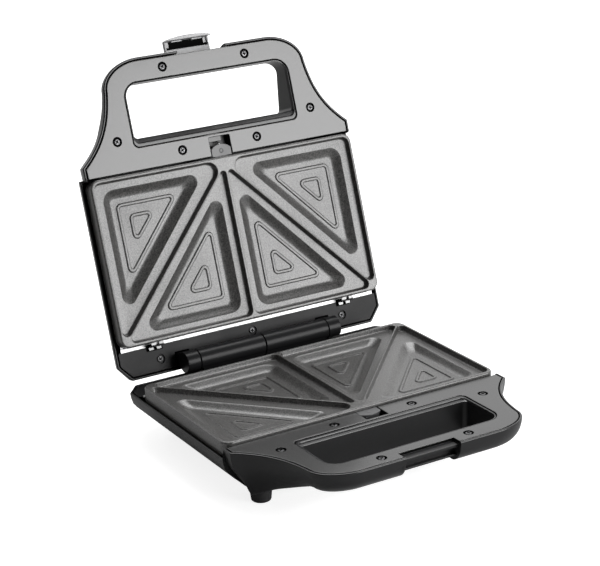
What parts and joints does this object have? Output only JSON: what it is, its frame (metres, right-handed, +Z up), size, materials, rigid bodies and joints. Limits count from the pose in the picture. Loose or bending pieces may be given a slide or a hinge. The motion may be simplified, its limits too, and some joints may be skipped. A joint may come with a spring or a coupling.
{
  "type": "sandwich toaster",
  "caption": "Countertop sandwich toaster: hinged halves with cut-and-seal cooking plates, looped handles, a locking clip and spring catches that free the plates.",
  "frame": {"origin": "on the table, under the middle of the open toaster's bounding box", "axes": "+Z up; +Y towards the hinge and the back; +X to the right, seen from the handle end. The lid stands open on its stop."},
  "size_m": [0.2466, 0.3548, 0.2914],
  "materials": {
    "black_plastic": "fine satin grain",
    "gloss_black": "smooth gloss",
    "nonstick_aluminium": "satin non-stick coating with a fine grain",
    "tray_aluminium": "bright pressed sheet",
    "heater_sheath": "dark annealed steel",
    "steel": "plain",
    "screw_steel": "dark plated",
    "catch_plastic": "satin",
    "grey_plastic": "satin",
    "black_rubber": "matt",
    "light_plastic": "matt",
    "board": "satin lacquer",
    "red_lens": "translucent gloss",
    "green_lens": "translucent gloss"
  },
  "bodies": {
    "base": {"base_housing": "black_plastic", "base_trim": "gloss_black", "base_rear_cover": "black_plastic", "base_plate": "nonstick_aluminium", "base_tray": "tray_aluminium", "base_heater": "heater_sheath", "base_heater_clips": "steel", "base_plate_hooks": "steel", "base_trim_screws": "screw_steel", "base_cover_screws": "screw_steel", "base_tray_screws": "screw_steel", "base_catch_spring": "steel", "hinge_barrels": "black_plastic", "hinge_pins": "steel", "wire_sleeve": "light_plastic", "feet": "black_rubber", "cord_bush": "black_rubber", "terminal_block": "light_plastic", "thermostat": "steel"},
    "lid": {"lid_housing": "black_plastic", "lid_trim": "gloss_black", "lid_rear_cover": "black_plastic", "lid_plate": "nonstick_aluminium", "lid_tray": "tray_aluminium", "lid_heater": "heater_sheath", "lid_heater_clips": "steel", "lid_plate_hooks": "steel", "lid_trim_screws": "screw_steel", "lid_cover_screws": "screw_steel", "lid_tray_screws": "screw_steel", "lid_catch_spring": "steel", "lid_knuckles": "black_plastic", "thermal_fuse": "steel", "lamp_board": "board", "lamp_lens_power": "red_lens", "lamp_lens_ready": "green_lens", "clip_pin": "steel"},
    "clip": {"clip": "grey_plastic"},
    "base_catch": {"base_catch": "catch_plastic"},
    "lid_catch": {"lid_catch": "catch_plastic"}
  },
  "joints": [
    {"name": "lid_hinge", "type": "hinge", "parent": "base", "child": "lid", "pos_m": [0, 0.068, 0.0524], "axis": [1, 0, 0], "range_deg": [0, 108.1]},
    {"name": "clip_hinge", "type": "hinge", "parent": "lid", "child": "clip", "pos_m": [0, 0.15414, 0.26895], "axis": [1, 0, 0], "range_deg": [0, 90]},
    {"name": "base_catch_slide", "type": "slide", "parent": "base", "child": "base_catch", "axis": [0, -1, 0], "range_m": [0, 0.003], "stiffness_N_per_m": 150, "springref_m": -0.006},
    {"name": "lid_catch_slide", "type": "slide", "parent": "lid", "child": "lid_catch", "axis": [0, 0.3107, 0.9505], "range_m": [0, 0.003], "stiffness_N_per_m": 150, "springref_m": -0.006}
  ]
}
